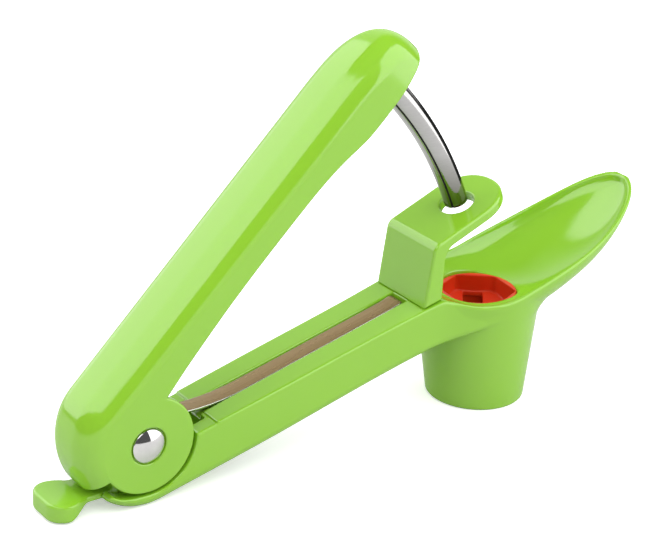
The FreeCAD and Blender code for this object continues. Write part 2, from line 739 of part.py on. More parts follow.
def make_leaf_spring():
    lift = ARM_TOP + SPRING_SUNK + SPRING_THICK / 2
    start = V(SPRING_LEG_END, 0, arm_line(SPRING_LEG_END, lift))
    slot_run = (SPRING_LEG_END - SPRING_RISE_AT) / math.cos(math.radians(ARM_SLOPE))
    runs = [
        slot_run,
        (SPRING_EASE, -SPRING_EASE_TURN),
        SPRING_OVER_PIN,
        (SPRING_BEND, -SPRING_BEND_TURN),
        SPRING_UPPER_LEG,
        (SPRING_CURL, -SPRING_CURL_TURN),
    ]
    return strip(start, 180 + ARM_SLOPE, runs, SPRING_THICK, SPRING_WIDTH)


# --- lock slide ----------------------------------------------------------------
def make_lock_slide():
    plan = rounded_outline(PADDLE_NECK, PADDLE_END, PADDLE_WIDTH, PADDLE_CORNER)
    paddle = upright(plan, PADDLE_TOP - PADDLE_THICK, PADDLE_TOP)
    middle = (PADDLE_NECK + PADDLE_END) / 2
    reach = (PADDLE_NECK - PADDLE_END) / 2
    ball = (reach ** 2 + PADDLE_DISH ** 2) / (2 * PADDLE_DISH)
    top = PADDLE_TOP - PADDLE_DISH + ball
    paddle = paddle.cut(Part.makeCylinder(ball, BEYOND, V(middle, -BEYOND / 2, top), ACROSS))
    nose = PADDLE_TOP - PADDLE_THICK
    paddle = paddle.cut(prism(loop(
        V(PADDLE_NECK, 0, PLATE_BOTTOM),
        V(PADDLE_NECK, 0, nose),
        V(PADDLE_NECK - PADDLE_THICK, 0, nose),
    ), BEYOND))
    half = PLATE_WIDTH / 2
    plate = block((PADDLE_NECK - OVERSHOOT, RISER_INNER), (-half, half), (PLATE_BOTTOM, PLATE_TOP))
    finger_low = FINGER_TOP - FINGER_THICK
    riser = block((RISER_OUTER, RISER_INNER), (-half, half), (PLATE_BOTTOM, FINGER_TOP))
    finger = block((FINGER_END, RISER_INNER), (-half, half), (finger_low, FINGER_TOP))
    return paddle.fuse([plate, riser, finger]).removeSplitter()


# --- silicone insert -------------------------------------------------------------
def insert_well():
    """Room above the flaps, with flat walls."""
    corner = WELL_FLAT / math.cos(math.pi / WELL_SIDES)
    points = []
    for i in range(WELL_SIDES + 1):
        turn = math.radians(WELL_TURN) + 2 * math.pi * (i + 0.5) / WELL_SIDES
        points.append(V(MOUTH_X + corner * math.cos(turn), corner * math.sin(turn), SEAT_Z))
    well = Part.Face(Part.makePolygon(points)).extrude(V(0, 0, BEYOND))
    corner_limit = INSERT_RADIUS - WELL_CORNER_WALL
    return well.common(Part.makeCylinder(corner_limit, BEYOND, V(MOUTH_X, 0, SEAT_Z), UP))


def make_silicone_insert():
    outer = Part.makeCylinder(INSERT_RADIUS, INSERT_TOP_Z - LEDGE_Z, V(MOUTH_X, 0, LEDGE_Z), UP)
    bore = INSERT_RADIUS - INSERT_WALL
    above = cone(SEAT_HOLE_X, SEAT_Z - SEAT_DIP, SEAT_HOLE_RADIUS, MOUTH_X, SEAT_Z, WELL_FLAT)
    above = above.fuse(insert_well())
    low = SEAT_Z - SEAT_THICK
    below = cone(MOUTH_X, LEDGE_Z - OVERSHOOT, bore, MOUTH_X, low - SEAT_DIP, bore)
    below = below.fuse(cone(MOUTH_X, low - SEAT_DIP, bore, MOUTH_X, low, bore).cut(
        cone(SEAT_HOLE_X, low - SEAT_DIP, SEAT_HOLE_RADIUS, MOUTH_X, low, bore)))
    insert = outer.cut([above, below])
    insert = insert.cut(Part.makeCylinder(SEAT_HOLE_RADIUS, BEYOND, V(SEAT_HOLE_X, 0, 0), UP))
    for i in range(SEAT_GAPS):
        heights = (low - SEAT_DIP - OVERSHOOT, SEAT_Z + OVERSHOOT)
        gap = block((0, GAP_REACH), (-GAP_WIDTH / 2, GAP_WIDTH / 2), heights)
        gap.rotate(PIN, UP, WELL_TURN + 360 * i / SEAT_GAPS)
        gap.translate(V(SEAT_HOLE_X, 0, 0))
        insert = insert.cut(gap)
    return insert.removeSplitter()


def main():
    pieces = {
        "lower_arm": make_lower_arm(),
        "upper_handle": make_upper_handle(),
        "rod_guide": make_rod_guide(),
        "plunger_rod": make_plunger_rod(),
        "leaf_spring": make_leaf_spring(),
        "hinge_rivet": make_hinge_rivet(),
        "hinge_rivet_cap": make_hinge_rivet_cap(),
        "hinge_sleeve": make_hinge_sleeve(),
        "lock_slide": make_lock_slide(),
        "silicone_insert": make_silicone_insert(),
    }
    whole = Part.makeCompound(list(pieces.values())).optimalBoundingBox()
    origin = V((whole.XMin + whole.XMax) / 2, 0, -PIN_HEIGHT)
    os.makedirs("parts", exist_ok=True)
    for name, shape in pieces.items():
        placed = shape.copy()
        placed.translate(origin * -1)
        placed.exportStep("parts/" + name + ".step")
        print(name, len(placed.Solids), "solid,", round(placed.Volume), "mm3, valid", placed.isValid())
    print("pin at", -origin)


main()
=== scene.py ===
"""Looks of a hand-held olive pitter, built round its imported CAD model.

The green mouldings and the silicone seat are made as smooth meshes from distance
fields, laid out like the CAD model: millimetres about the hinge pin, x from the hinge
to the scoop, y across the tool, z up. They are moved to the pin's place at the end.
"""
import bmesh
import bpy
import json
import math
import numpy as np
from mathutils import Matrix, Vector


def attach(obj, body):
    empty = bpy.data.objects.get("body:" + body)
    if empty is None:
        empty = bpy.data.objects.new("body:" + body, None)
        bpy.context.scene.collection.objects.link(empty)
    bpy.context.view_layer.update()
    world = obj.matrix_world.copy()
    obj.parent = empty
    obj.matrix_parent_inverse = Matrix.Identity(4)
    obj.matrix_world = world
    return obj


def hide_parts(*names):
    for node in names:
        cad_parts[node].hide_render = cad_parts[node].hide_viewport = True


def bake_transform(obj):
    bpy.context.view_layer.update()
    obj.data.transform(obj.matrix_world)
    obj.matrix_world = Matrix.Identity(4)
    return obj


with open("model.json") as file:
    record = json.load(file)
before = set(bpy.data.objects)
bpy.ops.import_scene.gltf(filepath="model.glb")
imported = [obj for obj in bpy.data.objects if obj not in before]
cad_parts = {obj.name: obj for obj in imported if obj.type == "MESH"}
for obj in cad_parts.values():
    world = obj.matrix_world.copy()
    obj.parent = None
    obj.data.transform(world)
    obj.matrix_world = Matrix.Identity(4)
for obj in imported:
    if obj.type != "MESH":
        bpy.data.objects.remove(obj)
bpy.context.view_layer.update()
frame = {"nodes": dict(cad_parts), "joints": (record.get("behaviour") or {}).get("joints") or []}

PIN = np.array([j for j in frame["joints"] if j["name"] == "handle_pivot"][0]["pos_m"])
MM = 0.001
FINE = 0.4   # grid step of the moulded pieces, in millimetres

# --- sizes in millimetres and degrees, most of them shared with the CAD model --------
# the hinge
HEEL = 17.3                 # the heel's radius, and the pin's height over the table
HEEL_START = 229.0          # where the heel begins, as an angle round the pin
EAR = 13.2                  # radius of the handle's ears
RECESS = 13.8               # radius of the room for the ears in the arm
CHEEK_OUTER = 7.45          # half the width of the tongue between the ears
HEAD_SEAT_RADIUS = 5.0
HEAD_SEAT = 8.9             # how far across the rivet heads' seats lie
HANDLE_PIN_HOLE = 2.58
ARM_PIN_HOLE = 3.25
# the handle
OPEN = 45.3                 # its slope at rest
HANDLE_END = 123.6
HANDLE_HALF = 9.7
HANDLE_WALL = 2.1
CROWN = 19.5
CROWN_WALL = 2.2
CROWN_INNER = 17.3
CROWN_CORNER = 6.4
CROWN_FALL = 29.0           # length over which the crown comes down at the tip
CROWN_FULLNESS = 2.6
CROWN_ARCH = 150.0          # y * y over this is the crown's fall across its width
TIP_NARROWS = 19.0
TIP_FULLNESS = 2.2
BACK_END = 214.5 - OPEN     # where the crown ends behind the pin
SKIRT = 4.0
SOFT = 0.55                 # radius of the softened long edges of handle and arm
TOOTH_DEPTH = 2.7
TOOTH_ANGLE = 9.5
# the rod
ROD_ARC = 110.0
ROD_RADIUS = 3.3
ROD_WALL_FIT = 0.03
ROD_TIP = 22.8
ROD_BORE = 2.4
ROD_RIM = 0.35
# angle round the tube of the groove that carries a painted dark reflection line
PAINTED_LINE_TURN = math.radians(217)
# the guide
GUIDE_ANGLE = 22.7
GUIDE_TOP = 0.35
GUIDE_PLATE = 3.1
GUIDE_BEVEL = 1.4
GUIDE_HALF = 10.75
GUIDE_HOLE = 4.75
# the arm, its slot and the spring
SLOPE = 14.3
ARM_TOP = 3.1
STEP = 0.55
STEP_AT = 19.3              # place of the step at the end of the rails, along the arm
SLOT_HALF = 3.1
SLOT_BOTTOM = 5.1
LEG_END = 83.0
STRIP_HALF = 0.35           # half its thickness
STRIP_WIDE = 2.7            # half its width
STRIP_EDGE = 0.16
RIBS = (37.0, 56.0, 75.0)
RIB_WALL = 1.6
# cup, scoop and seat
CUP_BASE = 13.9
CUP_CHUTE = 11.9
CUP_GROWS = 3.9             # how much wider the cup is over its height
CUP_HEIGHT = 33.3
CUP_SLANT = 0.9945          # cosine of the slant of its wall
SCOOP_END = 163.2
SCOOP_WIDEST = 118.0
SCOOP_HALF = 17.75
SCOOP_LIP = 1.05
MOUTH_X = 111.6
MOUTH = 11.0
LEDGE = 9.0                 # radius of the hole in the ledge under the seat
LEDGE_Z = 3.0
SEAT_X = 110.8
SEAT_HOLE = 5.1
SEAT_Z = 9.1
SEAT_TURN = math.radians(53.4)
# the lock
LOCK_HALF = 5.1
LOCK_INNER = -6.2
PLATE_BOTTOM = -13.9
FINGER_TOP = -3.15

FAR = 50.0                  # a distance that takes no part
COS_S = math.cos(math.radians(SLOPE))


# --- distance fields ----------------------------------------------------------------
def both(a, b, r):
    """What is inside both fields, with its outer edge rounded to r."""
    if r <= 0:
        return np.maximum(a, b)
    return np.minimum(-r, np.maximum(a, b)) + np.hypot(np.maximum(a + r, 0), np.maximum(b + r, 0))


def either(a, b, r):
    """What is inside either field, with a fillet of r between them."""
    return np.maximum(r, np.minimum(a, b)) - np.hypot(np.maximum(r - a, 0), np.maximum(r - b, 0))


def without(a, b, r):
    """The first field less the second, with the edge rounded to r."""
    return both(a, -b, r)


def slab(v, low, high):
    """Distance to the space between two places on an axis."""
    return np.maximum(low - v, v - high)


def box(x, y, z, xr, yr, zr, r):
    """A box from three (low, high) pairs, with its edges rounded to r."""
    q = [slab(v, *pair) for v, pair in ((x, xr), (y, yr), (z, zr))]
    outside = np.sqrt(sum(np.maximum(v + r, 0) ** 2 for v in q))
    return outside + np.minimum(np.maximum(np.maximum(q[0], q[1]), q[2]) + r, 0) - r


def superoval(u, w, a, b, n):
    """Signed distance, near the curve, to |u/a|^n + |w/b|^n = 1; u and w are not negative."""
    k = ((u / a) ** n + (w / b) ** n + 1e-12) ** (1 / n)
    slope = k ** (1 - n) * np.hypot((u / a) ** (n - 1) / a, (w / b) ** (n - 1) / b)
    return (k - 1) / np.maximum(slope, 1e-3)


def curve(points):
    """A smooth line through (x, value) pairs; it runs on flat beyond its ends."""
    x, v = (np.array(c, float) for c in zip(*points))
    n = len(x)
    h = np.diff(x)
    m = np.zeros((n, n))
    right = np.zeros(n)
    m[0, 0] = m[-1, -1] = 1
    for i in range(1, n - 1):
        m[i, i - 1:i + 2] = h[i - 1], 2 * (h[i - 1] + h[i]), h[i]
        right[i] = 6 * ((v[i + 1] - v[i]) / h[i] - (v[i] - v[i - 1]) / h[i - 1])
    c = np.linalg.solve(m, right)
    fine = np.linspace(x[0], x[-1], 3000)
    i = np.clip(np.searchsorted(x, fine) - 1, 0, n - 2)
    a = (x[i + 1] - fine) / h[i]
    b = (fine - x[i]) / h[i]
    out = a * v[i] + b * v[i + 1] + ((a ** 3 - a) * c[i] + (b ** 3 - b) * c[i + 1]) * h[i] ** 2 / 6
    return lambda q: np.interp(q, fine, out)


def smooth(v, low, high):
    """0 below the first value and 1 above the second, with an even passage between."""
    t = np.clip((v - low) / (high - low), 0, 1)
    return t * t * (3 - 2 * t)


def turned(x, z, angle):
    """Places seen along a direction from the pin: (along it, square to it)."""
    c, s = math.cos(math.radians(angle)), math.sin(math.radians(angle))
    return x * c + z * s, z * c - x * s


def beyond(x, z, angle):
    """Distance past the radial plane at an angle round the pin."""
    return turned(x, z, angle)[1]


# --- upper handle --------------------------------------------------------------------
# s runs along the handle, p square to it, both from the pin
handle_edge = curve([(0, 4.5), (12, 4.8), (19, 5.5), (27, 6.1), (38, 6.7), (52, 7.0), (68, 6.9),
                     (80, 6.4), (88, 5.3), (94, 4.15), (99, 3.85), (110, 3.9), (126, 4.0)])


def crown_field(s, y, p, inset):
    """Distance above the crown, which falls towards the tip and turns round the pin."""
    arch = y * y / CROWN_ARCH
    u = np.maximum(s - (HANDLE_END - CROWN_FALL), 0)
    w = np.maximum(p + arch - SKIRT, 1e-3)
    straight = superoval(u, w, CROWN_FALL - inset, CROWN - SKIRT - inset, CROWN_FULLNESS)
    narrower = 0.8 * smooth(-s, 2.0, 17.0)
    round_pin = np.hypot(s, p) + arch - (CROWN - inset - narrower)
    return np.where(s > 0, straight, round_pin)


def plan_field(s, y, inset):
    """Distance outside the handle's plan."""
    u = np.maximum(s - (HANDLE_END - TIP_NARROWS), 0)
    return superoval(u, np.abs(y) + 1e-6, TIP_NARROWS - inset, HANDLE_HALF - inset, TIP_FULLNESS)


def handle_field(s, y, p):
    r = np.hypot(s, p)
    ay = np.abs(y)
    outer = both(plan_field(s, y, 0), crown_field(s, y, p, 0), CROWN_CORNER)
    outer = both(outer, beyond(s, p, BACK_END), 0.7)
    edge = np.where(s > 0, handle_edge(s) - p, -FAR)
    outer = both(outer, edge, SOFT)
    ears = both(r - EAR, ay - HANDLE_HALF, SOFT)
    outer = np.minimum(outer, ears)
    hollow = both(plan_field(s, y, HANDLE_WALL), crown_field(s, y, p, CROWN_WALL),
                  CROWN_CORNER - HANDLE_WALL)
    shell = without(outer, hollow, 0.35)
    # the socket for the rod, with a rib across
    within = outer + 0.8
    ring = np.hypot(r - ROD_ARC, y)
    socket = both(ring - (ROD_RADIUS + 2.0), within, 0.4)
    rib = both(box(s, y, p, (109.2, 110.8), (-9, 9), (5.5, 19), 0.3), within, 0.1)
    shell = either(shell, either(socket, rib, 0.5), 0.7)
    shell = without(shell, np.where(p < 16, ring, 9.0) - (ROD_RADIUS + ROD_WALL_FIT), 0.25)
    # the tooth that meets the lock
    sector = np.maximum(beyond(s, p, BACK_END), -beyond(s, p, BACK_END - TOOTH_ANGLE))
    tooth = both(slab(r, CROWN_INNER - TOOTH_DEPTH, CROWN - 1.4), sector, 0.3)
    tooth = both(np.where(s < 0, tooth, FAR), ay - 5.0, 0.3)
    shell = either(shell, tooth, 0.3)
    # seats of the rivet heads, and the pin's hole
    seat = both(r - HEAD_SEAT_RADIUS, HEAD_SEAT - ay, 0.1)
    shell = without(shell, seat, 0.3)
    return without(shell, r - HANDLE_PIN_HOLE, 0.1)


# --- lower arm ------------------------------------------------------------------------
scoop_rim = curve([(84, 18.6), (91.5, 19.3), (97, 17.9), (104, 17.1), (112, 18.0), (124, 21.3),
                   (133, 24.1), (142, 27.4), (150, 31.1), (157.5, 35.4), (163.4, 39.2),
                   (168, 42.4)])
hull_depth = curve([(84, 7.0), (91.5, 8.0), (97, 10.0), (104, 11.5), (112, 12.5), (124, 12.7),
                    (133, 11.2), (142, 9.4), (150, 7.1), (157.5, 4.7), (163.4, 2.8)])
bowl_depth = curve([(84, 0.4), (91.5, 0.8), (97, 1.9), (104, 2.8), (112, 4.1), (124, 7.35),
                    (133, 7.15), (142, 6.3), (150, 4.95), (157.5, 3.25), (163.4, 1.55)])
scoop_start = curve([(84, 10.6), (91.5, 11.3), (97, 13.9), (104, 16.6), (111, 17.65),
                     (SCOOP_WIDEST, SCOOP_HALF)])


def scoop_half(x, end):
    """Half the scoop's width, which comes to nothing at its end."""
    t = np.clip((x - SCOOP_WIDEST) / (end - SCOOP_WIDEST), 0, 1)
    point = SCOOP_HALF * np.maximum(1 - t ** 2.35, 1e-5) ** 0.47
    return np.where(x < SCOOP_WIDEST, scoop_start(x), point)


def boat(x, y, z, half, depth, fullness):
    """A boat-shaped body under the rim; half, depth and fullness are arrays along x."""
    down = np.maximum(np.abs(scoop_rim(x) - z) / depth, 1e-6)
    side = np.maximum(np.abs(y) / half, 1e-6)
    f = (down ** fullness + side ** fullness) ** (1 / fullness)
    fall = (down / f) ** (fullness - 1) / depth
    spread = (side / f) ** (fullness - 1) / half
    e = 0.3
    lean = (scoop_rim(x + e) - scoop_rim(x - e)) / (2 * e) * fall
    return (f - 1) / np.maximum(np.sqrt(fall ** 2 + spread ** 2 + lean ** 2), 1e-3)


arm_width = curve([(-20, 9.75), (0, 9.75), (40, 10.45), (84.5, 11.2), (91, 11.9), (97, 13.6),
                   (103, 15.6), (108, 16.7), (113, 16.9)])


def arm_bar(x, y, z, u, v):
    """The slotted bar with its rounded heel and the tongue between the handle's ears."""
    r = np.hypot(x, z)
    ay = np.abs(y)
    half = arm_width(x)
    past = beyond(x, z, HEEL_START)
    over_top = v + ARM_TOP
    shallow = HEEL - 0.8 * smooth(u, 20.0, 95.0)
    under = np.where(u > 0, -v - shallow, np.hypot(u, v) - HEEL)
    step = either(both(over_top, STEP_AT - u - 0.35 * over_top, 0.2), over_top + STEP, 0.2)
    bar = both(ay - half, under, 2.6)
    bar = both(bar, step, SOFT)
    bar = both(bar, -past, 0.5)
    bar = np.maximum(bar, x - 113.0)
    # the gap round the ears, which opens towards the lock
    opening = np.where(z < -6.0, 1.4 * (1 - smooth(past, 0.5, 9.0)), 0.0)
    gap_end = RECESS + 0.2 + opening
    bar = without(bar, r - gap_end, 0.4)
    # the hollow underside, with ribs
    core = both(slab(u, 16.2, 92.0), both(ay - half + 2.1, v + 6.7, 1.0), 0.8)
    for at in RIBS:
        core = without(core, slab(x, at, at + RIB_WALL), 0.4)
    bar = without(bar, core, 0.3)
    # the tongue, thinner and notched where it shows in the gap
    tongue = both(both(under, over_top + STEP, 0.4), u - 19.0, 0.2)
    tongue = both(tongue, -past, 0.4)
    tongue = either(tongue, r - 9.5, 0.3)
    tongue = both(tongue, ay - CHEEK_OUTER + 1.3 * smooth(r, 10.5, 12.0), 0.35)
    notch = both(both(np.maximum(12.2 - r, r - gap_end), past - 5.0, 0.3), 4.8 - ay, 0.2)
    tongue = without(tongue, notch, 0.2)
    bar = either(bar, tongue, 0.2)
    # room for the spring between the hinge and the arm
    room = both(np.hypot(u, v) - 19.0, 6.6 - r, 0.5)
    room = both(both(room, ay - 5.4, 0.5), both(-u, -9.5 - v, 0.5), 0.5)
    bar = without(bar, room, 0.3)
    pocket = both(both(x + 6.05, slab(z, -14.05, -2.15), 0.2), ay - 5.25, 0.3)
    bar = without(bar, pocket, 0.25)
    return without(bar, r - ARM_PIN_HOLE, 0.1)


def arm_field(x, y, z):
    u, v = turned(x, z, SLOPE)
    ay = np.abs(y)
    bar = arm_bar(x, y, z, u, v)
    # cup and scoop
    share = (z + HEEL) / CUP_HEIGHT
    rc = np.hypot(x - (113.2 - 1.7 * share), y)
    cup = both((rc - (CUP_BASE + CUP_GROWS * share)) * CUP_SLANT, -z - HEEL, 0.7)
    towards_end = smooth(x, SCOOP_WIDEST, 150.0)
    hull = boat(x, y, z, scoop_half(x, SCOOP_END), hull_depth(x), 2.0 + 0.3 * towards_end)
    hull = np.maximum(hull, np.maximum(90.0 - x, x - SCOOP_END))
    below_rim = scoop_rim(x) - z
    body = either(cup, hull, 0.4 + 2.2 * smooth(below_rim, 3.0, 9.0))
    body = either(bar, body, 0.5)
    level = smooth(x, 88.0, 93.0)
    top = (1 - level) * (v + ARM_TOP) - level * below_rim * 0.95
    body = both(body, top, 0.75)
    # the bowl, the mouth and the chute under it
    half = np.maximum(scoop_half(x, SCOOP_END - 0.9) - SCOOP_LIP, 0.05)
    bowl = boat(x, y, z, half, bowl_depth(x), 1.8 + 0.9 * towards_end)
    bowl = np.maximum(bowl, np.maximum(92.0 - x, x - SCOOP_END + 1.1))
    body = without(body, bowl, 0.45)
    rm = np.hypot(x - MOUTH_X, y)
    body = without(body, both(rm - MOUTH, LEDGE_Z - z, 0.1), 0.4)
    body = without(body, np.maximum(rm - LEDGE, slab(z, -10, 8)), 0.3)
    chute = both((rc - (CUP_CHUTE + CUP_GROWS * share)) * CUP_SLANT, z - 1.2, 0.8)
    body = without(body, chute, 0.3)
    # the spring's slot
    slot = both(ay - SLOT_HALF, -SLOT_BOTTOM - v, 0.4)
    slot = both(slot, x - 84.3, 0.2)
    slot = np.where(z > 21.5, np.maximum(slot, z - 21.5), slot)
    return without(body, slot, 0.3)


# --- guide for the rod ------------------------------------------------------------------
def guide_field(x, y, z):
    s, p = turned(x, z, GUIDE_ANGLE)
    ay = np.abs(y)
    front = ((84.4 - x) * 24.0 + 3.2 * (z - 18.3)) / 24.2
    back = x - 90.4 - 0.02 * (z - 20.0)
    foot = -turned(x, z, SLOPE)[1] - ARM_TOP
    outer = np.maximum(both(front, p + GUIDE_TOP, GUIDE_BEVEL), foot)
    inner = either(back, -GUIDE_TOP - GUIDE_PLATE - p, 2.4)
    end = superoval(np.maximum(s - 111.0, 0), ay + 1e-6, 11.7, GUIDE_HALF, 2.2)
    wide = np.maximum(ay - GUIDE_HALF, np.where(s > 100, end, -FAR))
    body = both(outer, inner, 0.7)
    body = both(body, wide, 0.8)
    hole = np.hypot(s - ROD_ARC, y) - GUIDE_HOLE
    return without(body, hole, 0.45)


# --- lock slide ---------------------------------------------------------------------------
def lock_field(x, y, z):
    ay = np.abs(y)
    across = (-LOCK_HALF, LOCK_HALF)
    # the fan-shaped, dished paddle
    corner = np.hypot(np.maximum(-20.6 - x, 0), np.maximum(ay - 2.5, 0)) - 5.0
    wide = (ay - LOCK_HALF - 2.4 * smooth(-x, 13.5, 21.0)) * 0.92
    plan = np.maximum(corner, np.maximum(wide, -25.6 - x))
    dish = np.hypot(x + 21.0, z - 11.9) - 23.8
    low = -16.9 + 3.0 * smooth(x, -21.0, -14.0)
    top = -11.7 - 0.5 * smooth(x, -19.0, -13.5)
    paddle = both(plan, np.maximum(low - z, z - top) * 0.93, 1.0)
    paddle = both(paddle, x + 12.5, 0.3)
    paddle = without(paddle, dish, 0.5)
    # the hidden part; its finger stays clear of the handle when the lock is pulled
    plate = box(x, y, z, (-17.0, LOCK_INNER), across, (PLATE_BOTTOM, -12.2), 0.4)
    riser = box(x, y, z, (-8.2, LOCK_INNER), across, (PLATE_BOTTOM, FINGER_TOP), 0.4)
    finger = box(x, y, z, (-11.7, LOCK_INNER), across, (-5.55, FINGER_TOP), 0.5)
    return either(either(paddle, plate, 0.3), either(riser, finger, 0.4), 0.2)


# --- silicone seat ------------------------------------------------------------------------
def seat_field(x, y, z):
    r = np.hypot(x - MOUTH_X, y)
    angle = np.arctan2(y, x - MOUTH_X)
    outer = both(r - (MOUTH - 0.05), slab(z, LEDGE_Z, 14.2), 0.35)
    # a six-sided well with rounded corners
    sector = np.mod(angle - SEAT_TURN + math.pi / 6, math.pi / 3) - math.pi / 6
    well = both(r * np.cos(sector) - 9.3, r - 10.5, 0.15)
    hr = np.hypot(x - SEAT_X, y)
    fall = SEAT_Z - 1.2 + 1.2 * np.clip((hr - SEAT_HOLE) / 4.4, 0, 1.2)
    above = both(well, fall - z, 0.4)
    below = both(r - 9.7, z - (fall - 1.4), 0.5)
    body = without(without(outer, above, 0.3), below, 0.3)
    body = without(body, hr - SEAT_HOLE, 0.3)
    # four gaps between the flaps
    turn = np.mod(np.arctan2(y, x - SEAT_X) - SEAT_TURN + math.pi / 4, math.pi / 2) - math.pi / 4
    gap = both(np.abs(hr * np.sin(turn)) - 2.8, hr * np.cos(turn) - 9.5, 0.5)
    gap = np.maximum(gap, slab(z, 6.0, SEAT_Z + 1.0))
    return without(body, gap, 0.25)


# --- meshes from fields -------------------------------------------------------------------
def gradient(field, p, e):
    """Slope of a field at points, from four neighbours of each."""
    k = np.array([[1, -1, -1], [-1, -1, 1], [-1, 1, -1], [1, 1, 1]], float)
    g = np.zeros_like(p)
    for way in k:
        q = p + way * e
        g += way * field(q[:, 0], q[:, 1], q[:, 2])[:, None]
    return g / (4 * e)


def grid_values(field, low, counts, step):
    """Field on a grid; only blocks near the surface are worked out point by point."""
    size = 8                # points along a block
    batch = 1500            # blocks worked out at a time
    blocks = -(-counts // size)
    values = np.empty(blocks * size, np.float32)
    index = np.indices(blocks).reshape(3, -1).T
    middle = low + (index * size + (size - 1) / 2) * step
    rough = field(middle[:, 0], middle[:, 1], middle[:, 2])
    view = values.reshape(blocks[0], size, blocks[1], size, blocks[2], size)
    view = view.transpose(0, 2, 4, 1, 3, 5)
    view[...] = rough.reshape(*blocks, 1, 1, 1)
    near = index[np.abs(rough) < size * step * 1.7]
    inner = np.indices((size, size, size)).reshape(3, -1).T
    for start in range(0, len(near), batch):
        part = near[start:start + batch]
        p = low + (part[:, None, :] * size + inner[None, :, :]) * step
        flat = p.reshape(-1, 3)
        d = field(flat[:, 0], flat[:, 1], flat[:, 2]).reshape(len(part), size, size, size)
        view[part[:, 0], part[:, 1], part[:, 2]] = d
    return values


def surface_cells(inside):
    """Grid cells that the surface goes through, and the number of each in the grid."""
    nx, ny, nz = inside.shape
    total = np.zeros((nx - 1, ny - 1, nz - 1), np.int8)
    for i, j, k in np.ndindex(2, 2, 2):
        total += inside[i:nx - 1 + i, j:ny - 1 + j, k:nz - 1 + k]
    cells = np.argwhere((total > 0) & (total < 8))
    number = np.full(total.shape, -1, np.int32)
    number[cells[:, 0], cells[:, 1], cells[:, 2]] = np.arange(len(cells))
    return cells, number


def cell_points(v, cells):
    """One point in each cell: the mean of where the surface cuts the cell's edges."""
    place = np.zeros((len(cells), 3))
    hits = np.zeros(len(cells))
    for axis in range(3):
        others = [a for a in range(3) if a != axis]
        for i, j in np.ndindex(2, 2):
            a = cells.copy()
            a[:, others[0]] += i
            a[:, others[1]] += j
            b = a.copy()
            b[:, axis] += 1
            va = v[a[:, 0], a[:, 1], a[:, 2]].astype(float)
            vb = v[b[:, 0], b[:, 1], b[:, 2]].astype(float)
            cross = (va < 0) != (vb < 0)
            p = a.astype(float)
            p[:, axis] += np.where(cross, va / np.where(cross, va - vb, 1), 0)
            place += p * cross[:, None]
            hits += cross
    return place / hits[:, None]


def cell_quads(inside, number):
    """A quad for each grid edge that the surface cuts, between the cells round it."""
    quads = []
    for axis in range(3):
        first = [slice(None)] * 3
        second = [slice(None)] * 3
        first[axis], second[axis] = slice(0, -1), slice(1, None)
        a, b = inside[tuple(first)], inside[tuple(second)]
        edges = np.argwhere(a != b)
        o1, o2 = (axis + 1) % 3, (axis + 2) % 3
        ok = (edges[:, o1] > 0) & (edges[:, o2] > 0)
        ok &= (edges[:, o1] < inside.shape[o1] - 1) & (edges[:, o2] < inside.shape[o2] - 1)
        edges = edges[ok]
        start_inside = a[edges[:, 0], edges[:, 1], edges[:, 2]]
        corners = []
        for d1, d2 in ((1, 1), (0, 1), (0, 0), (1, 0)):
            c = edges.copy()
            c[:, o1] -= d1
            c[:, o2] -= d2
            corners.append(number[c[:, 0], c[:, 1], c[:, 2]])
        q = np.stack(corners, 1)
        q[~start_inside] = q[~start_inside][:, ::-1]
        quads.append(q)
    return np.concatenate(quads)


def surface(field, low, high, step):
    """Vertices, quads and normals of a field's surface, by surface nets."""
    low = np.array(low, float)
    counts = np.ceil((np.array(high, float) - low) / step).astype(int) + 1
    v = grid_values(field, low, counts, step)
    v = np.where(v == 0, 1e-6, v)
    inside = v < 0
    cells, number = surface_cells(inside)
    place = low + cell_points(v, cells) * step
    quads = cell_quads(inside, number)
    # a few steps along the slope bring the points onto the surface
    for _ in range(4):
        g = gradient(field, place, 0.04)
        d = field(place[:, 0], place[:, 1], place[:, 2])
        move = -d[:, None] * g / np.maximum((g * g).sum(1), 0.05)[:, None]
        length = np.linalg.norm(move, axis=1, keepdims=True)
        place += move * np.minimum(1, 0.5 * step / np.maximum(length, 1e-9))
    normals = gradient(field, place, 0.1)
    normals /= np.maximum(np.linalg.norm(normals, axis=1, keepdims=True), 1e-9)
    return place, quads, normals


def mesh_object(name, place, faces, normals=None):
    """A smooth mesh object; place is in metres in the row frame."""
    mesh = bpy.data.meshes.new(name)
    faces = np.asarray(faces, np.int32)
    mesh.vertices.add(len(place))
    mesh.vertices.foreach_set("co", np.asarray(place, np.float32).ravel())
    mesh.loops.add(faces.size)
    mesh.loops.foreach_set("vertex_index", faces.ravel())
    mesh.polygons.add(len(faces))
    starts = np.arange(0, faces.size, faces.shape[1], dtype=np.int32)
    mesh.polygons.foreach_set("loop_start", starts)
    mesh.update(calc_edges=True)
    mesh.polygons.foreach_set("use_smooth", np.ones(len(faces), bool))
    if normals is not None:
        mesh.normals_split_custom_set_from_vertices(np.asarray(normals, np.float32).tolist())
    o = bpy.data.objects.new(name, mesh)
    bpy.context.scene.collection.objects.link(o)
    return o


def placed(points, angle=0.0):
    """Points about the pin in millimetres, turned up to an angle, in the row frame."""
    c, s = math.cos(math.radians(angle)), math.sin(math.radians(angle))
    turn = np.array([[c, 0, -s], [0, 1, 0], [s, 0, c]])
    return points @ turn.T * MM + PIN, turn


def moulded(name, field, low, high, step, angle=0.0):
    """A field's surface between two corners, turned up to an angle and kept above the floor."""
    place, quads, normals = surface(field, low, high, step)
    points, turn = placed(place, angle)
    points[:, 2] = np.maximum(points[:, 2], 0)
    return mesh_object(name, points, quads, normals @ turn.T)


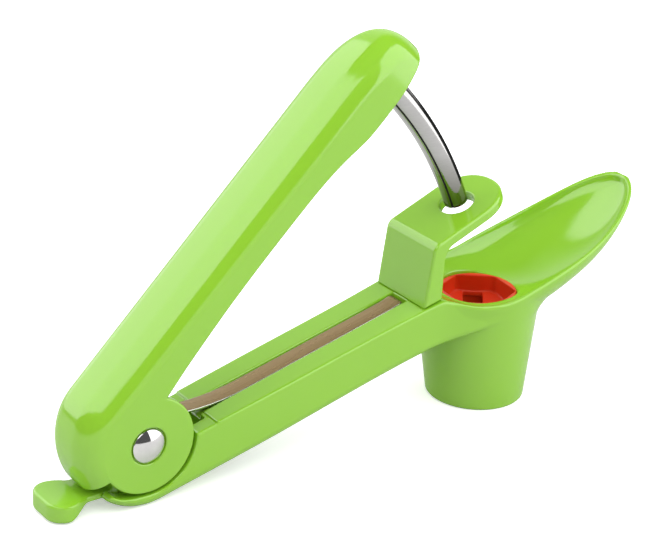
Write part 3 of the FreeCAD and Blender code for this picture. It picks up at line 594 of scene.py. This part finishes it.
# --- turned and swept pieces ---------------------------------------------------------------
def skin(rows, count):
    """Quads between rows of points, each a closed ring of count points."""
    faces = []
    for i in range(rows - 1):
        for j in range(count):
            k = (j + 1) % count
            faces.append([i * count + j, i * count + k, (i + 1) * count + k, (i + 1) * count + j])
    return np.array(faces)


def lathe(name, profile, side, segments=96):
    """A body of revolution about the pin; profile is (radius, across) in millimetres."""
    angle = np.linspace(0, 2 * math.pi, segments, endpoint=False)
    rows = []
    for r, y in profile:
        across = np.full(segments, y * side)
        rows.append(np.stack([r * np.cos(angle), across, r * np.sin(angle)], 1))
    faces = skin(len(rows), segments)
    if side < 0:
        faces = faces[:, ::-1]
    return mesh_object(name, placed(np.concatenate(rows))[0], faces)


def rod_ring():
    """Angles round the tube, and how deep the groove under its painted dark reflection line is cut
    at each of them.
    """
    even = np.linspace(0, 2 * math.pi, 72, endpoint=False)
    even = even[np.abs(even - PAINTED_LINE_TURN) >= math.radians(11)]
    groove = [PAINTED_LINE_TURN + math.radians(v) for v in (-10, -6.4, -5.2, -4.4, 0, 4.4, 5.2, 6.4, 10)]
    angles = np.concatenate([even, groove])
    depth = np.concatenate([np.zeros(len(even)), [0, 0, 0, 0.35, 0.4, 0.35, 0, 0, 0]])
    order = np.argsort(angles)
    return angles[order], depth[order]


def rod_mesh(name):
    """The bent tube, with a rounded rim at its free end and a shallow groove whose faces take a
    painted dark reflection line.
    """
    root = OPEN + math.degrees(math.asin(14.0 / ROD_ARC))
    middle = ROD_RADIUS - ROD_RIM
    stations = [(ROD_TIP + 4.0, ROD_BORE), (ROD_TIP + 0.12, ROD_BORE), (ROD_TIP + 0.03, 2.5)]
    for t in np.linspace(0, 90, 7):
        c, s = math.cos(math.radians(t)), math.sin(math.radians(t))
        back = math.degrees(ROD_RIM * (1 - s) / ROD_ARC)
        stations.append((ROD_TIP + back, middle + ROD_RIM * (1 - c)))
    stations += [(a, ROD_RADIUS) for a in np.linspace(ROD_TIP + 0.4, root, 90)]
    stations.append((root, 0.2))
    ring, depth = rod_ring()
    rows = []
    for angle, radius in stations:
        r = radius - depth * (radius >= ROD_RADIUS - 1e-6)
        along = ROD_ARC + r * np.cos(ring)
        t = math.radians(angle)
        rows.append(np.stack([along * math.cos(t), r * np.sin(ring), along * math.sin(t)], 1))
    faces = skin(len(rows), len(ring))[:, [0, 3, 2, 1]]
    o = mesh_object(name, placed(np.concatenate(rows))[0], faces)
    # the groove's walls and floor take the second material, a near-black painted dark reflection
    # line
    painted_line_faces = depth + np.roll(depth, -1) > 0.3
    o.data.polygons.foreach_set("material_index", np.tile(painted_line_faces, len(rows) - 1).astype(np.int32))
    return o


def spring_line():
    """Points and headings of the strip's middle, from the tip of the lower leg."""
    lift = ARM_TOP + 0.6 + STRIP_HALF
    here = np.array([LEG_END, LEG_END * math.tan(math.radians(SLOPE)) - lift / COS_S + 0.5])
    heading = 180 + SLOPE + 11.0
    # radius and turn of each bend; a straight run has its length and None
    runs = [(26.0, -11.0), ((LEG_END - 38.0) / COS_S, None), (64.0, -26.2), (7.0, None),
            (4.6, -118.72), (57.0, None), (18.0, -14.0)]
    line = [(here.copy(), heading)]
    for size, turn in runs:
        a = math.radians(heading)
        if turn is None:
            n = max(2, int(size / 1.5))
            way = np.array([math.cos(a), math.sin(a)])
            for i in range(1, n + 1):
                line.append((here + way * size * i / n, heading))
        else:
            n = max(6, int(abs(turn) / 3))
            sign = 1 if turn > 0 else -1
            centre = here + np.array([-math.sin(a), math.cos(a)]) * sign * size
            for i in range(1, n + 1):
                now = heading + turn * i / n
                b = math.radians(now)
                line.append((centre + np.array([math.sin(b), -math.cos(b)]) * sign * size, now))
            heading += turn
        here = line[-1][0]
    return line


def strip_section():
    """The strip's cross-section, with rounded long edges."""
    section = []
    for cy, cn, start in ((1, 1, 0), (-1, 1, 90), (-1, -1, 180), (1, -1, 270)):
        for t in np.radians(np.linspace(start, start + 90, 5)):
            section.append((cy * (STRIP_WIDE - STRIP_EDGE) + STRIP_EDGE * math.cos(t),
                            cn * (STRIP_HALF - STRIP_EDGE) + STRIP_EDGE * math.sin(t)))
    return np.array(section)


def spring_mesh(name):
    """The leaf spring: lower leg in the slot, one bend over the pin, upper leg."""
    line = spring_line()
    section = strip_section()
    rows = []
    for k, (p, heading) in enumerate(line):
        a = math.radians(heading)
        side = np.array([-math.sin(a), math.cos(a)])
        narrower, thinner = (0.88, 0.7) if k in (0, len(line) - 1) else (1.0, 1.0)
        across, off = section[:, 0] * narrower, section[:, 1] * thinner
        rows.append(np.stack([p[0] + side[0] * off, across, p[1] + side[1] * off], 1))
    n = len(section)
    o = mesh_object(name, placed(np.concatenate(rows))[0], skin(len(rows), n))
    # the two ends are closed
    bm = bmesh.new()
    bm.from_mesh(o.data)
    points = list(bm.verts)
    bm.faces.new(points[:n][::-1])
    bm.faces.new(points[-n:])
    bmesh.ops.recalc_face_normals(bm, faces=bm.faces[:])
    bm.to_mesh(o.data)
    bm.free()
    return o


# --- materials --------------------------------------------------------------------------
GREEN = (0.257, 0.537, 0.028)
GREEN_DEEP = (0.245, 0.520, 0.024)
RED = (0.74, 0.044, 0.009)
RED_DEEP = (0.64, 0.028, 0.005)
BROWN = (0.37, 0.255, 0.120)
BROWN_DEEP = (0.28, 0.187, 0.080)
CUT_STEEL = (0.78, 0.76, 0.74)
CUT_EDGE = (0.00245, 0.00265)       # where across the strip its cut edge begins, in metres
# colour of the painted dark reflection at the rod's lower end, where the rod mirrors the dark hole
# and plate
PAINTED_DARK_END = (0.10, 0.105, 0.06)
PAINTED_DARK_HEIGHTS = (0.061, 0.076)      # over which the rod's painted dark reflection fades, in metres
FLOOR_GREY = (0.62, 0.62, 0.62)
PLASTIC_IOR = 1.78
SILICONE_IOR = 1.43
ROD_STREAKS = (300, 300, 2500)


def new_material(name):
    m = bpy.data.materials.new(name)
    m.use_nodes = True
    nodes = m.node_tree.nodes
    bsdf = nodes["Principled BSDF"]
    return m, nodes, m.node_tree.links, bsdf


def coordinates(nodes, links, scale=(1, 1, 1)):
    tex = nodes.new("ShaderNodeTexCoord")
    mapping = nodes.new("ShaderNodeMapping")
    mapping.inputs["Scale"].default_value = scale
    links.new(tex.outputs["Object"], mapping.inputs["Vector"])
    return mapping.outputs["Vector"]


def noise(nodes, links, vector, scale, detail=3.0, roughness=0.5):
    n = nodes.new("ShaderNodeTexNoise")
    n.inputs["Scale"].default_value = scale
    n.inputs["Detail"].default_value = detail
    n.inputs["Roughness"].default_value = roughness
    links.new(vector, n.inputs["Vector"])
    return n.outputs["Fac"]


def ramp(nodes, links, fac, low, high):
    """From one colour to another while fac goes from 0.3 to 0.7, where most noise lies."""
    r = nodes.new("ShaderNodeValToRGB")
    for stop, place, colour in zip(r.color_ramp.elements, (0.3, 0.7), (low, high)):
        stop.position = place
        stop.color = (*colour, 1.0)
    links.new(fac, r.inputs["Fac"])
    return r.outputs["Color"]


def remap(nodes, links, fac, low, high, to_low, to_high):
    r = nodes.new("ShaderNodeMapRange")
    r.inputs["From Min"].default_value = low
    r.inputs["From Max"].default_value = high
    r.inputs["To Min"].default_value = to_low
    r.inputs["To Max"].default_value = to_high
    links.new(fac, r.inputs["Value"])
    return r.outputs["Result"]


def blended(nodes, links, fac, colour, other):
    """The first colour, turning into the other as fac goes to 1; each a socket or a constant."""
    mix = nodes.new("ShaderNodeMix")
    mix.data_type = "RGBA"
    sockets = [i for i in mix.inputs if i.type == "RGBA"]
    links.new(fac, mix.inputs["Factor"])
    for socket, value in zip(sockets, (colour, other)):
        if isinstance(value, tuple):
            socket.default_value = (*value, 1)
        else:
            links.new(value, socket)
    return [o for o in mix.outputs if o.type == "RGBA"][0]


def bump(nodes, links, height, strength, distance, bsdf):
    b = nodes.new("ShaderNodeBump")
    b.inputs["Strength"].default_value = strength
    b.inputs["Distance"].default_value = distance
    links.new(height, b.inputs["Height"])
    links.new(b.outputs["Normal"], bsdf.inputs["Normal"])


def object_axes(nodes, links):
    """Place in metres along each axis."""
    tex = nodes.new("ShaderNodeTexCoord")
    parts = nodes.new("ShaderNodeSeparateXYZ")
    links.new(tex.outputs["Object"], parts.inputs[0])
    return parts.outputs


def maths(nodes, links, operation, *values):
    node = nodes.new("ShaderNodeMath")
    node.operation = operation
    for value, socket in zip(values, node.inputs):
        links.new(value, socket)
    return node.outputs["Value"]


def scatter(bsdf, weight, radius, scale):
    bsdf.inputs["Subsurface Weight"].default_value = weight
    bsdf.inputs["Subsurface Radius"].default_value = radius
    bsdf.inputs["Subsurface Scale"].default_value = scale


def gloss_plastic(name, colour, deeper):
    m, nodes, links, bsdf = new_material(name)
    where = coordinates(nodes, links)
    cloud = noise(nodes, links, where, 22.0, 2.0)
    links.new(ramp(nodes, links, cloud, deeper, colour), bsdf.inputs["Base Color"])
    smudge = noise(nodes, links, where, 60.0, 4.0, 0.6)
    links.new(remap(nodes, links, smudge, 0.3, 0.75, 0.09, 0.15), bsdf.inputs["Roughness"])
    wave = noise(nodes, links, where, 45.0, 1.0)
    bump(nodes, links, wave, 0.06, 0.001, bsdf)
    bsdf.inputs["IOR"].default_value = PLASTIC_IOR
    scatter(bsdf, 0.12, (0.5, 1.0, 0.2), 0.0015)
    return m


def polished_steel(name, colour, rough, streak_scale, streak, paint_dark_end=False):
    """Steel with fine streaks; the last argument paints it dark over the centimetre above the
    guide, a painted dark reflection.
    """
    m, nodes, links, bsdf = new_material(name)
    where = coordinates(nodes, links, streak_scale)
    lines = noise(nodes, links, where, 1.0, 4.0, 0.65)
    shade = ramp(nodes, links, lines, tuple(c * 0.9 for c in colour), colour)
    if paint_dark_end:
        # painted dark reflection: the colour darkens towards the rod's lower end
        height = object_axes(nodes, links)["Z"]
        painted_fade = remap(nodes, links, height, *PAINTED_DARK_HEIGHTS, 0.8, 0.0)
        shade = blended(nodes, links, painted_fade, shade, PAINTED_DARK_END)
    links.new(shade, bsdf.inputs["Base Color"])
    links.new(remap(nodes, links, lines, 0.3, 0.7, rough, rough * 1.7), bsdf.inputs["Roughness"])
    bump(nodes, links, lines, streak, 0.0003, bsdf)
    bsdf.inputs["Metallic"].default_value = 1.0
    return m


def spring_strip_steel(name):
    """Browned strip with bright cut edges and fine lines along it."""
    m, nodes, links, bsdf = new_material(name)
    lines = noise(nodes, links, coordinates(nodes, links, (40, 4000, 40)), 1.0, 4.0, 0.65)
    stain = noise(nodes, links, coordinates(nodes, links, (60, 200, 60)), 1.0, 3.0, 0.6)
    face = ramp(nodes, links, lines, BROWN_DEEP, BROWN)
    across = maths(nodes, links, "ABSOLUTE", object_axes(nodes, links)["Y"])
    cut = remap(nodes, links, across, *CUT_EDGE, 0.0, 1.0)
    links.new(blended(nodes, links, cut, face, CUT_STEEL), bsdf.inputs["Base Color"])
    links.new(remap(nodes, links, cut, 0.0, 1.0, 0.5, 1.0), bsdf.inputs["Metallic"])
    links.new(remap(nodes, links, stain, 0.3, 0.7, 0.18, 0.34), bsdf.inputs["Roughness"])
    bump(nodes, links, lines, 0.12, 0.0003, bsdf)
    return m


def silicone(name):
    m, nodes, links, bsdf = new_material(name)
    where = coordinates(nodes, links)
    cloud = noise(nodes, links, where, 120.0, 2.0)
    links.new(ramp(nodes, links, cloud, RED_DEEP, RED), bsdf.inputs["Base Color"])
    grain = noise(nodes, links, where, 2500.0, 2.0)
    links.new(remap(nodes, links, cloud, 0.3, 0.7, 0.30, 0.40), bsdf.inputs["Roughness"])
    bump(nodes, links, grain, 0.05, 0.0002, bsdf)
    bsdf.inputs["IOR"].default_value = SILICONE_IOR
    scatter(bsdf, 0.18, (1.0, 0.15, 0.08), 0.002)
    return m


def floor_material():
    """White paper: it takes the soft shadows near the tool and stays white far from it.

    Rays that don't come from the camera see it grey, because the tool mirrors little of it.
    """
    m, nodes, links, bsdf = new_material("floor_white")
    bsdf.inputs["Roughness"].default_value = 0.7
    bsdf.inputs["Specular IOR Level"].default_value = 0.2
    bsdf.inputs["Emission Color"].default_value = (1, 1, 1, 1)
    path = nodes.new("ShaderNodeLightPath")
    where = nodes.new("ShaderNodeTexCoord")
    far = nodes.new("ShaderNodeVectorMath")
    far.operation = "LENGTH"
    links.new(where.outputs["Object"], far.inputs[0])
    seen = path.outputs["Is Camera Ray"]
    glow = remap(nodes, links, far.outputs["Value"], 0.2, 0.7, 0.38, 1.0)
    paper = blended(nodes, links, seen, FLOOR_GREY, (1.0, 1.0, 1.0))
    links.new(paper, bsdf.inputs["Base Color"])
    links.new(maths(nodes, links, "MULTIPLY", glow, seen), bsdf.inputs["Emission Strength"])
    return m


green = gloss_plastic("green_plastic", GREEN, GREEN_DEEP)
green_lock = gloss_plastic("lock_plastic", GREEN, GREEN_DEEP)
red = silicone("red_silicone")
# the rod's colour has a painted dark reflection at its lower end
rod_steel = polished_steel("rod_steel", (0.57, 0.56, 0.55), 0.05, ROD_STREAKS, 0.04, paint_dark_end=True)
# painted dark reflection line: near-black steel for the faces of the groove along the tube
painted_line_steel = polished_steel("painted_line_steel", (0.05, 0.05, 0.045), 0.45, ROD_STREAKS, 0.04)
rivet_steel = polished_steel("rivet_steel", (0.82, 0.80, 0.80), 0.05, (600, 600, 600), 0.02)
strip_steel = spring_strip_steel("strip_steel")


# --- the pieces -----------------------------------------------------------------------------
def dress(o, material, body, slot, *nodes):
    """Gives a piece its material and its body, and hides the CAD nodes it stands for; slot is not
    used.
    """
    o.data.materials.clear()
    o.data.materials.append(material)
    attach(o, body)
    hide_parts(*nodes)


handle = moulded("handle_moulding", handle_field, (-21, -11, -14), (126, 11, 21), FINE, OPEN)
dress(handle, green, "handle", "green_plastic", "upper_handle")
arm = moulded("arm_moulding", arm_field, (-16, -19, -18.6), (165, 19, 41.5), FINE)
dress(arm, green, "base", "green_plastic", "lower_arm")
guide = moulded("guide_moulding", guide_field, (82, -12, 14), (114, 12, 49), FINE * 0.8)
dress(guide, green, "base", "green_plastic", "rod_guide")
lock = moulded("lock_moulding", lock_field, (-27, -9, -18), (-5, 9, -2), FINE * 0.7)
dress(lock, green_lock, "lock", "slide_plastic", "lock_slide")
seat = moulded("seat_moulding", seat_field, (99, -12.5, 1.5), (124, 12.5, 15.5), FINE * 0.55)
dress(seat, red, "base", "red_silicone", "silicone_insert")

rod = rod_mesh("plunger_tube")
# clearing a mesh's materials also clears which faces take the second one
painted_line_faces = np.zeros(len(rod.data.polygons), np.int32)
rod.data.polygons.foreach_get("material_index", painted_line_faces)
dress(rod, rod_steel, "handle", "rod_steel", "plunger_rod")
# the groove's faces take the painted dark reflection line
rod.data.materials.append(painted_line_steel)
rod.data.polygons.foreach_set("material_index", painted_line_faces)

strip = spring_mesh("spring_strip")
strip.data.materials.append(strip_steel)
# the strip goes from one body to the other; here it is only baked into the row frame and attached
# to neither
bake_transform(strip)
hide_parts("leaf_spring")


def head_profile():
    """The rivet's head: a low rim under a dome."""
    top, rim, radius = 11.05, 9.05, 4.6
    dome = 1.5
    flat = top - dome
    ball = (radius ** 2 + dome ** 2) / (2 * dome)
    points = [(0.0, rim), (radius - 0.15, rim), (radius, rim + 0.15), (radius, flat - 0.12)]
    limit = math.degrees(math.asin(radius / ball))
    for t in np.radians(np.linspace(limit * 0.985, 0, 24)):
        points.append((ball * math.sin(t), top - ball + ball * math.cos(t)))
    return points


near_head = lathe("rivet_head", head_profile(), -1)
dress(near_head, rivet_steel, "base", "rivet_steel", "hinge_rivet")
far_head = lathe("rivet_cap_head", head_profile(), 1)
dress(far_head, rivet_steel, "base", "rivet_steel", "hinge_rivet_cap")
sleeve = frame["nodes"]["hinge_sleeve"]
sleeve.data.materials.clear()
sleeve.data.materials.append(strip_steel)

# --- stage, light and camera ---------------------------------------------------------------
BACKDROP_WAY = (0.5, 0.866, 0.0)    # towards the backdrop, as the camera looks
BACKDROP_EDGE = (0.58, 0.82)        # cosines between which it gives way to the room
BACKDROP_MIRRORED = 0.9
ROOM_MIRRORED = 0.1
ROOM_LIGHT = 0.6                    # of the world, in diffuse light
PANEL_MIRRORED = 2.05
PANEL_LIGHT = 1.45
LAMPS_REACH = 1.2                   # metres from the tool
FOCAL_PIXELS = 2079.7
PICTURE_WIDTH = 664.0
TOOL_MIDDLE = (0, 0, 0.04)

floor_mesh = bpy.data.meshes.new("floor")
floor_mesh.from_pydata([(-3, -3, 0), (3, -3, 0), (3, 3, 0), (-3, 3, 0)], [], [(0, 1, 2, 3)])
floor = bpy.data.objects.new("floor", floor_mesh)
bpy.context.scene.collection.objects.link(floor)
floor_mesh.materials.append(floor_material())

world = bpy.data.worlds.new("studio")
bpy.context.scene.world = world
world.use_nodes = True
nodes, links = world.node_tree.nodes, world.node_tree.links
back = nodes["Background"]
back.inputs["Color"].default_value = (1, 1, 1, 1)
path = nodes.new("ShaderNodeLightPath")
seen = maths(nodes, links, "MAXIMUM",
             path.outputs["Is Camera Ray"], path.outputs["Is Transmission Ray"])
# what the glossy pieces mirror: the white backdrop behind the tool, and a dim room elsewhere
towards = nodes.new("ShaderNodeTexCoord")
behind = nodes.new("ShaderNodeVectorMath")
behind.operation = "DOT_PRODUCT"
behind.inputs[1].default_value = BACKDROP_WAY
links.new(towards.outputs["Generated"], behind.inputs[0])
mirrored = remap(nodes, links, behind.outputs["Value"],
                 *BACKDROP_EDGE, ROOM_MIRRORED, BACKDROP_MIRRORED)
unseen = nodes.new("ShaderNodeMix")
unseen.inputs["A"].default_value = ROOM_LIGHT
links.new(path.outputs["Is Glossy Ray"], unseen.inputs["Factor"])
links.new(mirrored, unseen.inputs["B"])
strength = nodes.new("ShaderNodeMix")
strength.inputs["B"].default_value = 1.0
links.new(seen, strength.inputs["Factor"])
links.new(unseen.outputs["Result"], strength.inputs["A"])
links.new(strength.outputs["Result"], back.inputs["Strength"])


def way_to(azimuth, elevation):
    """Unit vectors, one to a row, towards angles in degrees seen from the tool."""
    turn, lift = np.radians(azimuth), np.radians(elevation)
    return np.stack([np.cos(turn) * np.cos(lift), np.sin(turn) * np.cos(lift), np.sin(lift)], -1)


def softbox(name, azimuth, elevation, wide, high, bright):
    """A lamp facing the tool, in no reflection; place and size are angles seen from the tool."""
    size = [2 * LAMPS_REACH * math.tan(math.radians(v / 2)) for v in (wide, high)]
    lamp = bpy.data.lights.new(name, "AREA")
    lamp.shape = "RECTANGLE"
    lamp.size, lamp.size_y = size
    lamp.energy = 4 * bright * size[0] * size[1]
    way = Vector(way_to(azimuth, elevation))
    across = Vector((0, 0, 1)).cross(way).normalized()
    upward = way.cross(across)
    place = Vector(TOOL_MIDDLE) + way * LAMPS_REACH
    o = bpy.data.objects.new(name, lamp)
    rows = [[across[i], upward[i], way[i], place[i]] for i in range(3)]
    o.matrix_world = Matrix(rows + [[0, 0, 0, 1]])
    bpy.context.scene.collection.objects.link(o)
    o.visible_glossy = False


def round_tool(name, edges, reach, rows=10, between=8):
    """A curved panel that the camera doesn't see; edges are lists of (azimuth, elevation)."""
    lines = []
    for edge in edges:
        spots = np.array(edge, float)
        steps = np.linspace(0, len(spots) - 1, (len(spots) - 1) * between + 1)
        count = np.arange(len(spots))
        lines.append(np.stack([np.interp(steps, count, spots[:, k]) for k in (0, 1)], 1))
    place = []
    for t in np.linspace(0, 1, rows):
        place.append(way_to(*(lines[0] * (1 - t) + lines[1] * t).T) * reach + TOOL_MIDDLE)
    count = len(lines[0])
    faces = [[i * count + j, i * count + j + 1, (i + 1) * count + j + 1, (i + 1) * count + j]
             for i in range(rows - 1) for j in range(count - 1)]
    o = mesh_object(name, np.concatenate(place), faces)
    o.visible_camera = False
    return o


glow, nodes, links, bsdf = new_material("lamp_cloth")
bsdf.inputs["Base Color"].default_value = (0, 0, 0, 1)
bsdf.inputs["Emission Color"].default_value = (1, 1, 1, 1)
path = nodes.new("ShaderNodeLightPath")
bright = remap(nodes, links, path.outputs["Is Diffuse Ray"], 0.0, 1.0, PANEL_MIRRORED, PANEL_LIGHT)
links.new(bright, bsdf.inputs["Emission Strength"])
canopy = round_tool("canopy", (
    [(95, -2), (108, -2), (122, -2), (140, 2), (158, 16), (178, 28), (205, 30), (234, 25)],
    [(82, 48), (98, 53), (114, 55), (132, 58), (152, 62), (178, 65), (212, 63), (253, 47)]), 0.62)
screen = round_tool("screen", (
    [(-72, -4), (-52, -4), (-32, -4), (-12, -4)],
    [(-78, 56), (-56, 63), (-28, 62), (-4, 50)]), 0.55)
for panel in (canopy, screen):
    panel.data.materials.append(glow)
    panel.visible_shadow = False

felt, nodes, links, bsdf = new_material("black_felt")
fibres = noise(nodes, links, coordinates(nodes, links), 900.0, 3.0)
shade = ramp(nodes, links, fibres, (0.008, 0.008, 0.008), (0.02, 0.02, 0.02))
links.new(shade, bsdf.inputs["Base Color"])
bsdf.inputs["Roughness"].default_value = 0.9
flag = round_tool("black_flag", (
    [(-12, -9.3), (20, -9.3), (52, -9.3)], [(-12, 13), (20, 13), (52, 13)]), 0.24, 3)
flag.data.materials.append(felt)
flag.visible_shadow = flag.visible_diffuse = False

softbox("front_fill", -62, 42, 60, 40, 1.2)
softbox("top_fill", -60, 80, 60, 60, 0.95)

# the camera, as fitted to the photo
az, el, roll = (math.radians(v) for v in (36.612, 23.925, 2.832))
ahead = Vector((math.sin(az) * math.cos(el), math.cos(az) * math.cos(el), -math.sin(el)))
level = Vector((math.cos(az), -math.sin(az), 0))
up = level.cross(ahead)
right = level * math.cos(roll) + up * math.sin(roll)
over = up * math.cos(roll) - level * math.sin(roll)
eye = Vector((-236.3, -400.2, 250.4)) * MM + Vector(PIN)    # seen from the pin
camera_data = bpy.data.cameras.new("camera")
camera_data.sensor_width = 36.0
camera_data.lens = FOCAL_PIXELS * camera_data.sensor_width / PICTURE_WIDTH
camera_data.clip_start = 0.01
camera = bpy.data.objects.new("camera", camera_data)
bpy.context.scene.collection.objects.link(camera)
camera.matrix_world = Matrix((
    (right.x, over.x, -ahead.x, eye.x),
    (right.y, over.y, -ahead.y, eye.y),
    (right.z, over.z, -ahead.z, eye.z),
    (0, 0, 0, 1),
))
bpy.context.scene.camera = camera
bpy.context.scene.view_settings.view_transform = "Standard"
